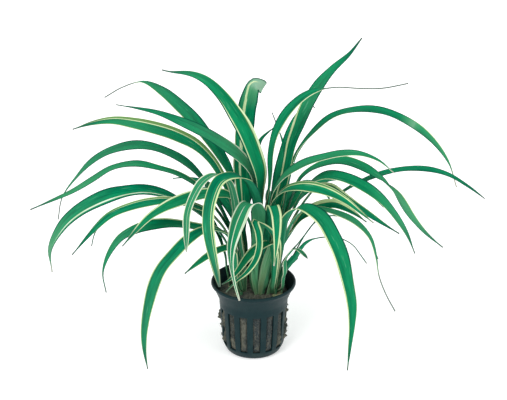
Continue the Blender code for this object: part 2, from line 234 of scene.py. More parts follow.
def in_slot(face):
    """Whether a face of the turned pot lies where a slot goes through the wall or the floor."""
    middle = face.calc_center_median()
    angle = math.atan2(middle.y, middle.x)
    in_wall = SLOT_BOTTOM < middle.z < SLOT_TOP and middle.xy.length > FLOOR_SLOT_OUTER + WALL
    in_floor = middle.z < 2 * WALL and FLOOR_SLOT_INNER < middle.xy.length < FLOOR_SLOT_OUTER
    return (in_wall and abs(off_centre(angle, SLOTS, WALL_SLOT_TURN)) < SLOT_SPAN / 2
            or in_floor and abs(off_centre(angle, FLOOR_SLOTS, FLOOR_SLOT_TURN)) < FLOOR_SLOT_SPAN / 2)


def which_slot(place):
    """The number of the slot that a place lies in, those of the floor counted after those of the wall."""
    turned = math.atan2(place.y, place.x) % math.tau / math.tau
    if place.z > SLOT_BOTTOM - WALL:
        return int(turned * SLOTS)
    return SLOTS + int((turned * FLOOR_SLOTS - FLOOR_SLOT_TURN + 0.5) % FLOOR_SLOTS)


def wall_slots(bm):
    """Close each slot with walls between its outline outside and its outline inside, and ease its edges."""
    rims = {}
    for edge in bm.edges:
        if edge.is_boundary:
            middle = (edge.verts[0].co + edge.verts[1].co) / 2
            rims.setdefault(which_slot(middle), []).append(edge)
    for rim in rims.values():
        bmesh.ops.bridge_loops(bm, edges=rim)
    bmesh.ops.recalc_face_normals(bm, faces=bm.faces)
    edges = [edge for rim in rims.values() for edge in rim]
    bmesh.ops.bevel(bm, geom=edges, offset=SLOT_EDGE, offset_type="OFFSET", affect="EDGES", segments=2,
                    profile=0.5, material=-1)


def plastic():
    """Satin plastic that has stood in water: faint upright streaks, a film of lime low down, and dark
    blotches towards the foot.
    """
    finish = Finish("slate_plastic", specular_ior_level=0.14)
    x, y, z = finish.parts(finish.place())
    streaks = finish.cloud(1.0, 4.0, at=finish.vector(x * 900, y * 900, z * 120))
    blotches = finish.cloud(160.0, 4.0, 0.6)
    film = finish.step(blotches, 0.48, 0.72) * finish.step(z, 0.036, 0.004, 0.25, 1.0)
    body = finish.mix(streaks, (0.002, 0.016, 0.019), (0.006, 0.027, 0.031))
    limed = finish.mix(film * 0.5, body, (0.034, 0.056, 0.053))
    # dark blotches, darker towards the foot
    foot_darkening = finish.step(finish.cloud(420.0, 5.0, 0.7), 0.55, 0.75) * finish.step(z, 0.012, 0.0)
    finish.feed("Base Color", finish.mix(foot_darkening * 0.8, limed, (0.006, 0.008, 0.007)))
    finish.feed("Roughness", 0.34 + 0.22 * blotches + 0.12 * film)
    finish.relief(finish.cloud(2600.0, 2.0) * 0.4 + streaks * 0.6, 0.00012, 0.35)
    return finish


bm = turn_outline(pot_profile(), COLUMNS, COLUMN / 2)
bmesh.ops.delete(bm, geom=[face for face in bm.faces if in_slot(face)], context="FACES")
wall_slots(bm)
pot = add_piece("net_pot_moulding", bm, ["net_pot"], "pot_plastic", plastic())
pot.data.set_sharp_from_angle(angle=SHARP_ANGLE)


# The rock wool
# A plug of grey-brown mineral fibre, pressed into the pot by hand: it swells into the slots, falls short
# of some, and its top is a crumbly heap, highest behind the right-hand leaves.
WOOL_TOP = 41.0
WOOL_COLUMNS = 480
SIDE_ROWS = 60
TOP_ROWS = 34
WOOL_GAP = 0.25
CORE_RADIUS = 12
SLOT_SWELL = 0.9
SLOT_EASE = 2.5
SIDE_BULGE = 1.6
HEAP_PLACE = Vector((19.0, 0.5))
HEAP_RADIUS = 5.5
HEAP_HEIGHT = 6.0
COLLAR_RADIUS = 14.0
COLLAR_HEIGHT = 3.4
TOP_RADIUS = 21.5
EDGE_RUN = 3
EDGE_SAG = 0.6
FIBRES = 900
FIBRES_ON_TOP = 0.55
FIBRE_RADIUS = 0.075
FIBRE_POINTS = [(0, 1.2), (0.33, 1.0), (0.67, 0.8), (1, 0.4)]


def rough(place, size, octaves=3):
    """Even-handed noise with features of about this size in millimetres."""
    return noise.fractal(place / size, 1.0, 2.0, octaves)


def packed_wool(place):
    """Where a point of the plain plug ends up once the wool is pressed in and has swollen."""
    radius = place.xy.length
    angle = math.atan2(place.y, place.x)
    if place.z > WOOL_TOP - 0.5:
        inward = min(1.0, max(0.0, (TOP_RADIUS - radius) / EDGE_RUN))
        heap = HEAP_HEIGHT * math.exp(-((place.xy - HEAP_PLACE).length / HEAP_RADIUS) ** 2)
        collar = COLLAR_HEIGHT * math.exp(-(max(0.0, radius - COLLAR_RADIUS) / EDGE_RUN) ** 2)
        rise = max(heap, collar) + 1.3 * rough(place, 5.0) + 0.6 * rough(place, 1.3)
        return place + Vector((0, 0, inward * rise - EDGE_SAG * (1 - inward)))
    if radius < CORE_RADIUS or place.z < SLOT_BOTTOM - 1:
        return place
    across = 1 - abs(off_centre(angle, SLOTS, WALL_SLOT_TURN)) / (SLOT_SPAN / 2 - 0.4 * COLUMN)
    upright = min(place.z - SLOT_BOTTOM - 0.5, SLOT_TOP - 0.5 - place.z) / SLOT_EASE
    in_slot_share = max(0.0, min(1.0, 2.6 * across)) * max(0.0, min(1.0, upright))
    bulge = SIDE_BULGE * (place.x / radius) ** 6 * (0.6 + 1.6 * rough(place, 4.0))
    swell = SLOT_SWELL + max(0.0, bulge) + 1.1 * rough(place, 6.0) + 0.5 * rough(place, 1.6)
    grown = radius + in_slot_share * swell + 0.1 * rough(place, 1.5)
    return Vector((place.x * grown / radius, place.y * grown / radius, place.z))


def mineral_fibre():
    """Rock wool: grey-brown felt with paler tufts, painted shade in dark blotches standing for the shade of
    its pits, a darker, bluer patch in front and a fine grain.
    """
    finish = Finish("mineral_fibre", roughness=0.95, specular_ior_level=0.2)
    tufts = finish.cloud(330.0, 5.0, 0.65)
    grain = finish.cloud(1900.0, 4.0, 0.7)
    lumps = finish.cloud(75.0, 2.0, 0.5)
    # painted shade: dark blotches standing for the shade in the felt's pits
    hollow_shade = finish.step(finish.cloud(420.0, 4.0, 0.6), 0.50, 0.40)
    hollow_shade = hollow_shade * finish.step(lumps, 0.58, 0.42, 0.25, 1.0)
    felt = finish.mix(finish.step(tufts, 0.35, 0.68), (0.064, 0.070, 0.056), (0.132, 0.132, 0.102))
    felt = finish.mix(finish.step(lumps, 0.54, 0.42) * 0.85, felt, (0.026, 0.036, 0.037))
    x, y, z = finish.parts(finish.place())
    # a darker, bluer patch on the front of the plug, below its top
    front_darkening = finish.step(x, -0.006, 0.0) * finish.step(x, 0.017, 0.012) * finish.step(y, 0.0, -0.01)
    front_darkening = front_darkening * finish.step(z, 0.039, 0.034) * finish.step(tufts, 0.62, 0.44, 0.45, 1.0)
    felt = finish.mix(front_darkening, felt, (0.020, 0.032, 0.038))
    grained = finish.mix(finish.step(grain, 0.42, 0.68) * 0.35, felt, (0.23, 0.225, 0.185))
    finish.feed("Base Color", finish.mix(hollow_shade * 0.45, grained, (0.014, 0.016, 0.013)))
    finish.relief(tufts * 0.6 + grain * 0.4, 0.0011, 0.8)
    return finish


wool_finish = mineral_fibre()
heights = np.linspace(SLOT_BOTTOM - 1.5, 38.6, SIDE_ROWS)
side = [(pot_outside(height) - WALL - WOOL_GAP, height) for height in heights]
top = [(radius, WOOL_TOP) for radius in np.linspace(21.8, 0.0, TOP_ROWS)]
bm = turn_outline([(0, 1.6), (14.5, 1.6), (16.2, 2.4)] + side + [(22.3, 40.2)] + top, WOOL_COLUMNS)
bmesh.ops.recalc_face_normals(bm, faces=bm.faces)
for vert in bm.verts:
    vert.co = packed_wool(vert.co)
add_piece("rock_wool_plug", bm, ["rock_wool"], "rock_wool", wool_finish)


def fibre_route(draw):
    """A loose fibre's points: it lies on the top of the wool, or stands out of a slot."""
    if draw.random() < FIBRES_ON_TOP:
        angle, radius = draw.uniform(0, math.tau), 20.5 * math.sqrt(draw.random())
        root = packed_wool(Vector((radius * math.cos(angle), radius * math.sin(angle), WOOL_TOP)))
        out = Vector((draw.uniform(-1, 1), draw.uniform(-1, 1), draw.uniform(0.05, 0.7))).normalized()
        reach = draw.uniform(1.2, 3.6)
    else:
        angle = (draw.randrange(SLOTS) + WALL_SLOT_TURN + draw.uniform(-0.22, 0.22)) * math.tau / SLOTS
        height = draw.uniform(SLOT_BOTTOM + 1.5, SLOT_TOP - 1)
        radius = pot_outside(height) - WALL - WOOL_GAP
        radial = Vector((math.cos(angle), math.sin(angle), 0))
        root = packed_wool(radius * radial + Vector((0, 0, height))) - 0.2 * radial
        out = (radial * draw.uniform(0.1, 0.8) + Vector((0, 0, draw.uniform(-1, 1)))
               + radial.cross(Vector((0, 0, 1))) * draw.uniform(-0.5, 0.5)).normalized()
        reach = draw.uniform(0.8, 2.4)
    bend = Vector((draw.uniform(-1, 1), draw.uniform(-1, 1), draw.uniform(-1, 0.4))) * 0.35 * reach
    return [root + out * reach * share + bend * share * share for share, _ in FIBRE_POINTS]


strands = bpy.data.curves.new("rock_wool_fibres", "CURVE")
strands.dimensions = "3D"
strands.bevel_depth = FIBRE_RADIUS * MM
strands.bevel_resolution = 0
strands.use_fill_caps = True
draw = random.Random(7)
for _ in range(FIBRES):
    spline = strands.splines.new("POLY")
    spline.points.add(len(FIBRE_POINTS) - 1)
    for point, place, (_, radius) in zip(spline.points, fibre_route(draw), FIBRE_POINTS):
        point.co = (*(place * MM), 1)
        point.radius = radius
strands.materials.append(wool_finish.material)
fibres = bpy.data.objects.new("rock_wool_fibres", strands)
bpy.context.scene.collection.objects.link(fibres)
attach(fibres, "root")
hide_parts("rock_wool")


# The crowns
# Each bundle of leaves grows from a short fleshy rhizome, ringed with the scars of older leaves and
# wrapped in a few green sheaths, whose tips have dried to paper. It stands in its hole in the wool.
CROWN_NAMES = sorted(name.removeprefix("crown_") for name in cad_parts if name.startswith("crown_"))
CROWN_DEPTH = 14.0
CROWN_TAPER = 0.107
CROWN_COLUMNS = 36
SCAR_PITCH = 1.4
SCAR_DEPTH = 0.25
SHEATHS = 4
SHEATH_HEIGHTS = (5.0, 9.0)
SHEATH_HALF_WIDTH = 1.3
SHEATH_LEAN = 0.22
SHEATH_BOW = 1.2
SHEATH_CHANNEL = 0.45
SHEATH_THICKNESS = 0.4

# The broad sheaths in front, which open like a V: from where to where, and their half-width
FRONT_SHEATHS = [
    ((4.4, -11.8, 41.5), (14.6, -13.2, 90.0), 3.9),
    ((2.4, -12.0, 41.5), (-1.2, -13.2, 65.0), 1.7),
    ((9.0, -10.4, 41.5), (17.0, -11.6, 68.0), 1.6),
]
FRONT_FACING = Vector((0.2, -0.98, 0))


def crown_place(name):
    """The middle of a crown's top, and its radius, in millimetres."""
    low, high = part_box("crown_" + name)
    return Vector(((low.x + high.x) / 2, (low.y + high.y) / 2, high.z)) / MM, (high.y - low.y) / 2 / MM


def rhizome():
    """A rhizome's flesh: pale green, ringed with brown scars."""
    finish = Finish("rhizome_flesh", roughness=0.6)
    x, y, z = finish.parts(finish.place())
    scars = finish.cloud(1.0, 3.0, at=finish.vector(x * 250, y * 250, z * 1400))
    flesh = finish.mix(finish.step(scars, 0.42, 0.62), (0.33, 0.40, 0.20), (0.16, 0.12, 0.06))
    finish.feed("Base Color", flesh)
    finish.relief(scars, 0.0004, 0.6)
    return finish


def sheath_skin():
    """A sheath's colours: ribbed green with a paler foot, a painted highlight along one edge, painted shade
    over one half, in dark streaks and along both edges, and a brown tip.
    """
    finish = Finish("sheath_skin", roughness=0.5, specular_ior_level=0.3)
    across, up, seed = finish.parts(finish.own("sheath"))
    ribs = finish.cloud(1.0, 3.0, at=finish.vector(across * 9, up * 1.2, seed * 9))
    skin = finish.mix(finish.step(up, 0.05, 0.7), (0.15, 0.23, 0.11), (0.030, 0.215, 0.075))
    ribbed = finish.mix(finish.step(ribs, 0.46, 0.58) * 0.8, skin, (0.13, 0.32, 0.17))
    # painted shade: one half of the sheath darker, with dark streaks along it
    furrow_shade = finish.cloud(1.0, 2.0, at=finish.vector(across * 4, up * 0.7, seed * 5 + 3))
    shaded = finish.step(across, 0.15, -0.75) * 0.6 + finish.step(furrow_shade, 0.50, 0.38) * 0.4
    ribbed = finish.mix(shaded, ribbed, (0.010, 0.115, 0.050))
    # painted highlight along one edge
    lit = finish.mix(finish.step(across, 0.55, 0.95) * 0.8, ribbed, (0.27, 0.46, 0.26))
    # painted shade along both edges
    shaded_edges = finish.mix(finish.step(abs(across), 0.93, 0.99) * 0.6, lit, (0.010, 0.09, 0.04))
    dry = finish.step(up + 0.2 * ribs, 1.0, 1.14)
    finish.feed("Base Color", finish.mix(dry, shaded_edges, (0.25, 0.19, 0.10)))
    finish.relief(ribs, 0.0003, 0.6)
    return finish


def add_sheath(bm, foot, top, facing, half_width, seed, layer):
    """Add one sheath to a bmesh: a pointed, channelled scale that is broadest halfway up."""
    grid = bmesh.ops.create_grid(bm, x_segments=16, y_segments=8, size=0.5)["verts"]
    rise = top - foot
    side = facing.cross(rise).normalized()
    for vert in grid:
        up, across = vert.co.x + 0.5, 2 * vert.co.y
        half = half_width * (0.40 + 1.75 * up - 2.13 * up ** 2.6)
        vert[layer] = (across, up, seed)
        vert.co = (foot + Vector((rise.x * up ** SHEATH_BOW, rise.y * up ** SHEATH_BOW, rise.z * up))
                   - SHEATH_CHANNEL * half * across ** 2 * facing + half * across * side)


flesh, skin = rhizome(), sheath_skin()
draw = random.Random(11)
for name in CROWN_NAMES:
    foot, radius = crown_place(name)
    outline = [(0, -CROWN_DEPTH), (radius - 1.6, -CROWN_DEPTH)]
    outline += [(radius - CROWN_TAPER * depth - SCAR_DEPTH * (depth / SCAR_PITCH % 1), -depth)
                for depth in np.arange(CROWN_DEPTH - SCAR_PITCH / 2, 0.6, -SCAR_PITCH / 2)]
    outline += [(radius - 0.5, -0.3), (radius - 1.4, 0.1), (0, 0.3)]
    bm = turn_outline(outline, CROWN_COLUMNS)
    bmesh.ops.recalc_face_normals(bm, faces=bm.faces)
    for vert in bm.verts:
        vert.co = foot + vert.co * (1 + 0.03 * rough(vert.co + foot, 2.5))
    add_piece(name + "_rhizome", bm, ["crown_" + name], "rhizome", flesh)

    bm = bmesh.new()
    layer = bm.verts.layers.float_vector.new("sheath")
    others = [crown_place(other) for other in CROWN_NAMES if other != name]
    for number in range(SHEATHS):
        facing = math.tau * (number + draw.uniform(-0.3, 0.3)) / SHEATHS
        height = draw.uniform(*SHEATH_HEIGHTS)
        outward = Vector((math.cos(facing), math.sin(facing), 0))
        if all((foot + (radius + 1.5) * outward - place).length > other_radius + 1.6
               for place, other_radius in others):
            root = foot + (radius - 0.8) * outward + Vector((0, 0, -2))
            top = root + SHEATH_LEAN * height * outward + Vector((0, 0, height))
            add_sheath(bm, root, top, outward, SHEATH_HALF_WIDTH, number + len(name), layer)
    if name == "main":
        for number, (root, top, half_width) in enumerate(FRONT_SHEATHS):
            add_sheath(bm, Vector(root), Vector(top), FRONT_FACING, half_width, number + 0.5, layer)
    bmesh.ops.recalc_face_normals(bm, faces=bm.faces)
    sheaths = add_piece(name + "_sheaths", bm, ["crown_" + name], "rhizome", skin)
    wall = sheaths.modifiers.new("thickness", "SOLIDIFY")
    wall.thickness = SHEATH_THICKNESS * MM
    wall.offset = 1


# The leaves
# Each leaf is a strap of its own, channelled along its midrib, that arches from its crown to a thread-like
# tip. The leaves are variegated: bluish green between margins and stripes of cream or white.
ROWS = 72
ACROSS = 14
BLADE = 0.85
MARGIN_THINNESS = 0.22
WIDEST_SHARE = 0.5
TIP_HALF_WIDTH = 0.45
FOOT_HALF_WIDTH = 2.2
FOOT_SHARE = 0.2
FOOT_DEPTH = 1.2
KEEL = 0.35
WAVE = 0.30
WAVE_LENGTH = 34.0
WAVE_SHIFT = 0.37
MARGIN_SHIFT = 1.9
WANDER = 0.05
WANDER_LENGTH = 18
EASING = 6
DRY_LEAD = 0.02
DRY_RUN = 0.03

# Each leaf's colouring. minus and plus: how broad the pale margin is on the far or left side of the blade and
# on its near or right side; stripe and stripe_half: the place, from -1 to 1 across the blade, and half-width
# of one more pale stripe; olive: how far the green turns olive beyond that stripe; white: how white the pale
# parts are (0 is cream); pale: how far the green is paled by a painted sheen, a grey-green stand-in for
# light reflected off the leaf; husk: how pale the dry tip is. Each is one number, or (share of the blade's
# length, number) pairs, and PLAIN says what isn't given.
PLAIN = dict(minus=0.0, plus=0.0, stripe=0.0, stripe_half=0.0, olive=0.0, white=0.3, pale=0.04, husk=0.15)
COLOURING = {
    "main_01": dict(minus=[(0.12, 0.22), (0.50, 0.20), (0.64, 0.0)],
                    plus=[(0.10, 0.10), (0.48, 0.08), (0.56, 0.0)],
                    white=1.0, pale=[(0.25, 0.0), (0.42, 1.2), (0.62, 0.5), (0.80, 0.1)]),
    "main_02": dict(minus=[(0.20, 0.30), (0.62, 0.24), (0.80, 0.04)], stripe=0.78,
                    stripe_half=[(0.66, 0.06), (0.78, 0.0)], white=0.4, pale=[(0.80, 0.0), (0.95, 0.4)]),
    "main_03": dict(minus=[(0.35, 0.16), (0.65, 0.22), (0.90, 0.32)], plus=[(0.45, 0.08), (0.80, 0.20)],
                    white=0.45),
    "main_04": dict(minus=[(0.50, 0.0), (0.60, 0.10), (0.85, 0.12), (0.95, 0.40)],
                    plus=[(0.46, 0.0), (0.56, 0.26), (0.90, 0.24), (0.97, 0.40)], stripe=0.44,
                    stripe_half=[(0.58, 0.0), (0.64, 0.035)], white=0.25, pale=[(0.65, 0.0), (0.85, 0.4)]),
    "main_05": dict(minus=[(0.46, 0.0), (0.54, 0.13), (0.80, 0.18), (0.95, 0.50)],
                    plus=[(0.44, 0.0), (0.52, 0.36), (0.80, 0.36), (0.95, 0.60)], stripe=-0.14,
                    stripe_half=[(0.54, 0.0), (0.62, 0.05), (0.78, 0.07), (0.90, 0.0)],
                    white=1.0, pale=[(0.10, 0.9), (0.42, 0.9), (0.50, 0.5), (0.70, 0.2)], husk=1.0),
    "main_06": dict(minus=[(0.50, 0.0), (0.60, 0.28), (0.95, 0.45)],
                    plus=[(0.50, 0.0), (0.58, 0.32), (0.95, 0.40)], white=0.35, husk=0.9),
    "main_07": dict(minus=[(0.45, 0.04), (0.90, 0.20)], plus=[(0.35, 0.03), (0.85, 0.08)], stripe=0.56,
                    stripe_half=[(0.30, 0.03), (0.65, 0.05), (0.90, 0.14)], olive=0.6, husk=0.6),
    "main_08": dict(minus=[(0.25, 0.07), (0.60, 0.05), (0.90, 0.12)], white=0.6, pale=0.25, husk=0.9),
    "main_09": dict(minus=[(0.42, 0.02), (0.52, 0.15), (0.70, 0.20)], white=0.5),
    "back_left_01": dict(plus=[(0.40, 0.09), (0.85, 0.05)], white=0.4, pale=[(0.50, 0.0), (0.80, 0.4)]),
    "back_left_02": dict(plus=[(0.25, 0.14), (0.52, 0.12), (0.60, 0.0)],
                         stripe=[(0.60, 0.28), (0.70, 0.32), (0.75, 0.60), (0.79, 0.40)],
                         stripe_half=[(0.30, 0.05), (0.55, 0.16), (0.70, 0.13), (0.77, 0.10), (0.80, 0.0)],
                         white=0.45, pale=[(0.66, 0.0), (0.74, 1.2), (0.79, 2.4)]),
    "back_left_03": dict(plus=0.10, white=0.5),
    "left_01": dict(minus=0.05, plus=[(0.30, 0.04), (0.90, 0.10)], stripe=-0.50, stripe_half=0.055, olive=1.0,
                    white=0.35, pale=[(0.60, 0.0), (0.80, 0.3), (0.95, 0.0)]),
    "left_02": dict(pale=[(0.45, 0.1), (0.80, 0.6)]),
    "left_03": dict(minus=[(0.15, 0.14), (0.48, 0.12), (0.58, 0.0)], pale=[(0.55, 0.1), (0.80, 0.7)]),
    "left_04": dict(minus=[(0.25, 0.12), (0.70, 0.11), (0.85, 0.0)],
                    plus=[(0.25, 0.04), (0.75, 0.09), (0.90, 0.0)], stripe=-0.62,
                    stripe_half=[(0.30, 0.03), (0.70, 0.03), (0.80, 0.0)], olive=0.7),
    "left_05": dict(stripe=[(0.40, 0.30), (0.55, 0.56)], stripe_half=[(0.80, 0.08), (0.92, 0.0)],
                    white=1.0, pale=[(0.62, 0.0), (0.80, 0.3), (0.92, 1.3)], husk=0.7),
    "left_06": dict(pale=0.0),
    "front_left_01": dict(minus=0.26, plus=0.20, stripe=0.1, stripe_half=0.02, white=0.8, pale=0.6, husk=0.8),
    "front_left_02": dict(minus=[(0.20, 0.20), (0.52, 0.20), (0.64, 0.05)],
                          pale=[(0.60, 0.0), (0.80, 0.5), (0.95, 0.2)]),
    "front_left_03": dict(minus=0.13, plus=[(0.40, 0.16), (0.80, 0.10)], white=0.35,
                          pale=[(0.50, 0.0), (0.80, 0.3)]),
    "front_left_04": dict(minus=0.20, plus=0.16, white=0.45),
    "back_right_01": dict(minus=[(0.40, 0.10), (0.52, 0.08), (0.60, 0.0)], plus=[(0.74, 0.0), (0.82, 0.20)],
                          white=0.5, pale=[(0.73, 0.0), (0.77, 1.6), (0.80, 0.3), (0.90, 0.8)], husk=0.9),
    "back_right_02": dict(minus=[(0.45, 0.08), (0.60, 0.0)], plus=[(0.20, 0.34), (0.60, 0.38), (0.74, 0.0)],
                          white=0.35, pale=[(0.55, 0.0), (0.70, 0.4), (0.90, 0.0)]),
    "back_right_03": dict(pale=0.0),
    "right_01": dict(minus=[(0.74, 0.0), (0.80, 0.16)], plus=[(0.25, 0.07), (0.55, 0.09), (0.66, 0.0)],
                     white=0.4, pale=[(0.30, 0.2), (0.66, 0.1), (0.76, 0.9)]),
    "right_02": dict(minus=[(0.40, 0.02), (0.55, 0.07), (0.85, 0.03)], white=0.5,
                     pale=[(0.70, 0.0), (0.90, 0.6)]),
    "right_03": dict(plus=[(0.45, 0.50), (0.62, 0.45), (0.80, 0.16)]),
    "right_04": dict(pale=0.0),
    "right_05": dict(pale=0.0),
    "front_right_01": dict(minus=0.05, plus=[(0.40, 0.45), (0.60, 0.60)], white=0.2),
    "front_right_02": dict(minus=[(0.40, 0.10), (0.55, 0.22)], plus=0.04, white=0.5, pale=0.5),
    "front_right_03": dict(minus=[(0.30, 0.12), (0.42, 0.22)], plus=[(0.60, 0.0), (0.72, 0.04)]),
    "front_right_04": dict(pale=0.0, husk=0.4),
    "front_right_05": dict(minus=0.30, plus=0.36, white=0.8, pale=0.5),
    "front_right_06": dict(minus=0.22, plus=0.38),
    "front_right_07": dict(minus=0.24, plus=0.24, white=0.4),
}

# How a blade narrows: the share of its length up to which it keeps its full width, how bluntly it then
# narrows, and the share from which only a dry thread is left
FORM = (0.58, 1.7, 1.0)
FORMS = {
    "back_left_01": (0.64, 2.2, 0.88),
    "back_right_01": (0.58, 1.8, 0.96),
    "front_left_02": (0.52, 1.3, 1.0),
    "front_left_03": (0.62, 1.8, 1.01),
    "front_right_02": (0.52, 1.6, 0.84),
    "front_right_03": (0.50, 1.5, 1.0),
    "left_01": (0.60, 1.7, 1.0),
    "left_02": (0.60, 1.6, 0.93),
    "left_03": (0.55, 1.5, 1.0),
    "left_05": (0.62, 2.0, 0.98),
    "main_01": (0.58, 1.4, 1.0),
    "main_02": (0.56, 1.25, 1.0),
    "main_09": (0.60, 2.5, 0.745),
    "right_01": (0.60, 1.6, 1.0),
}

# Blades whose half-width doesn't follow that rule, in millimetres at shares of the length. A list that ends
# before 1 is a blade that ends there, short of its solid.
OUTLINES = {
    "back_left_02": [(0.60, 6.0), (0.70, 5.9), (0.735, 4.9), (0.78, 4.2), (0.87, 4.4)],
    "back_left_04": [(0.50, 2.6), (0.62, 1.6), (0.70, 0.7), (0.72, 0.35)],
    "back_left_07": [(0.50, 4.0), (0.58, 2.6), (0.65, 0.4)],
    "back_right_02": [(0.10, 2.2), (0.30, 2.4), (0.50, 2.9), (0.56, 3.3), (0.61, 3.8), (0.67, 4.1),
                      (0.72, 4.0), (0.78, 3.5), (0.83, 2.6), (0.89, 1.8), (0.94, 1.0), (1, 0.4)],
    "back_right_03": [(0.50, 2.6), (0.61, 2.2), (0.72, 1.4), (0.78, 1.0), (0.83, 0.7), (0.87, 0.4),
                      (1, 0.28)],
    "front_left_01": [(0.50, 3.3), (0.67, 3.3), (0.78, 3.0), (0.89, 2.7), (0.95, 1.8), (1, 0.5)],
    "front_right_04": [(0.30, 1.7), (0.42, 1.3), (0.56, 1.1), (0.64, 0.4), (1, 0.22)],
    "front_right_05": [(0.50, 1.0), (0.76, 1.1), (0.88, 1.9), (0.95, 1.4), (1, 0.3)],
    "front_right_06": [(0.50, 2.6), (0.62, 3.0), (0.72, 2.8), (0.83, 2.0), (0.92, 1.1), (1, 0.3)],
    "left_06": [(0.50, 2.2), (0.75, 1.6), (0.88, 0.9), (1, 0.3)],
    "main_04": [(0.50, 4.3), (0.60, 4.1), (0.69, 3.7), (0.78, 3.8), (0.83, 3.5), (0.89, 2.9), (0.95, 2.1),
                (1, 0.7)],
    "main_05": [(0.44, 4.3), (0.62, 4.9), (0.69, 4.0), (0.75, 2.9), (0.82, 1.6), (0.90, 0.85), (1, 0.55)],
    "right_04": [(0.05, 2.2), (0.13, 2.0), (0.17, 0.6), (0.30, 0.7), (0.40, 2.1), (0.50, 3.1), (0.62, 3.4),
                 (0.72, 3.0), (0.83, 2.3), (0.92, 1.4), (1, 0.4)],
    "right_05": [(0.10, 1.6), (0.20, 0.7), (0.70, 0.7), (0.85, 0.5), (1, 0.3)],
}

# Where a blade turns about its midrib: from and to which share of its length, and by how many degrees
TWISTS = {
    "back_left_01": [(0.72, 0.90, 30)],
    "back_left_02": [(0.64, 0.76, 25), (0.75, 0.84, 70)],
    "back_right_01": [(0.60, 0.95, 60)],
    "back_right_02": [(0.10, 0.35, 48), (0.70, 1.00, -20)],
    "front_left_02": [(0.70, 1.00, 30)],
    "front_left_04": [(0.60, 0.90, -15)],
    "front_right_01": [(0.35, 0.60, 25)],
    "front_right_04": [(0.02, 0.12, -60), (0.45, 0.62, 60)],
    "left_01": [(0.50, 0.80, -28)],
    "left_02": [(0.45, 0.80, -18)],
    "left_03": [(0.62, 1.00, -40)],
    "left_04": [(0.55, 0.80, -12)],
    "left_05": [(0.58, 0.72, -25)],
    "main_01": [(0.75, 1.00, 25)],
    "main_04": [(0.25, 0.45, -15)],
    "main_07": [(0.50, 0.70, 25)],
    "main_09": [(0.30, 0.50, 15)],
    "right_01": [(0.62, 0.86, -110)],
    "right_03": [(0.50, 0.90, 35)],
    "right_04": [(0.50, 1.00, 20)],
}

# Sways of a blade off its smooth arch: at a share of its length, so many millimetres right and up
SWAYS = {
    "back_left_02": [(0.50, 0, 0), (0.56, -1.8, 0), (0.61, -2.9, 0), (0.67, -3.8, 0), (0.72, -3.4, -0.8),
                     (0.76, -2.3, -2.8), (0.79, -1.9, -4.2), (0.83, -2.8, -2.1), (0.87, -2.0, 1.8)],
    "back_right_02": [(0.60, 0, 0), (0.78, -1.9, 1.4), (0.92, -1.3, 1.4), (1, -0.6, 0)],
    "front_left_02": [(0.80, 0, 0), (0.92, -1.9, 0), (1, -1.3, 0)],
    "front_left_03": [(0.72, 0, 0), (0.83, -1.3, 0), (0.92, -2.5, 0), (1, -1.3, 0)],
    "front_right_02": [(0.72, 0, 0), (0.83, -1.3, -0.7), (0.92, -2.5, -1.4), (1, -2.5, -1.4)],
    "front_right_03": [(0.36, 0, 0), (0.50, 1.3, 0.7), (0.58, 1.3, 0.7), (0.67, 0, 0)],
    "front_right_06": [(0.42, 0, 0), (0.50, -2.4, 1.6), (0.56, -2.4, 1.6), (0.62, -1.2, 1.0), (0.68, 0, 0),
                       (0.80, 0, -0.4), (0.89, 0.3, -1.8), (0.94, 0.6, -3.2), (1, 1.7, -5.6)],
    "front_right_07": [(0.25, 0, 0), (0.38, 0, 3.6), (0.46, 0, 4.6), (0.61, -1.6, 4.6), (0.72, -1.6, 3.8),
                       (0.83, -1.6, 3.2), (0.92, -1.9, 3.9), (1, -2.9, 5.4)],
    "left_01": [(0.45, 0, 0), (0.58, 0.6, 1.4), (0.67, 0.6, 1.4), (0.83, 0, 0)],
    "left_02": [(0.70, 0, 0), (0.90, -1.3, 0.7), (1, -1.3, 0)],
    "left_04": [(0.70, 0, 0), (0.83, -1.3, 1.4), (1, 0, 0)],
    "left_05": [(0.58, 0, 0), (0.67, -0.6, 1.4), (0.83, -1.3, 1.4), (0.92, -1.3, 0), (1, -2.4, -0.7)],
    "left_06": [(0.20, 0, 0), (0.28, 0, 5.0), (0.33, 0, 7.2), (0.56, 0, 7.4), (0.67, 0, 6.3), (0.78, 0, 4.9),
                (0.89, -1.5, 2.5), (0.94, -4.0, 0), (1, -2.9, -3.0)],
    "main_02": [(0.60, 0, 0), (0.75, 1.3, 1.4), (0.83, 0.6, 2.3), (0.89, 0, 1.9), (0.94, 0, -0.4),
                (0.965, 0, -1.7), (1, 0, -0.7)],
    "main_04": [(0.65, 0, 0), (0.78, -0.9, 0), (0.84, -1.6, 0), (1, -1.8, 0.6)],
    "main_05": [(0.25, 0, 0), (0.33, 0.8, 0), (0.44, 1.9, 0), (0.50, 2.1, 1.4), (0.56, 0.8, 1.4),
                (0.61, -0.4, 0), (0.70, -0.8, 0), (0.85, -1.0, 0), (0.93, -1.3, 0), (1, -0.6, 0)],
    "main_06": [(0.78, 0, 0), (0.92, -1.2, 0), (1, -2.3, -0.6)],
    "main_09": [(0.35, 0, 0), (0.50, -1.3, 0), (0.70, 0, 0), (0.83, 0, -1.0), (0.92, 0, -2.8), (1, 0, 0)],
    "right_01": [(0.75, 0, 0), (0.83, -0.6, -0.7), (0.92, -1.9, -2.1), (1, -0.6, -0.7)],
    "right_05": [(0.25, 0, 0), (0.33, 0, 4.2), (0.39, 0, 6.3), (0.44, 0, 8.0), (0.56, 0, 7.0), (0.67, 0, 4.6),
                 (0.72, 0, 1.8), (0.83, 0, -4.2), (0.89, 0, -6.6), (1, -1.3, -13.0)],
}


def unit(vector):
    return vector / np.linalg.norm(vector)


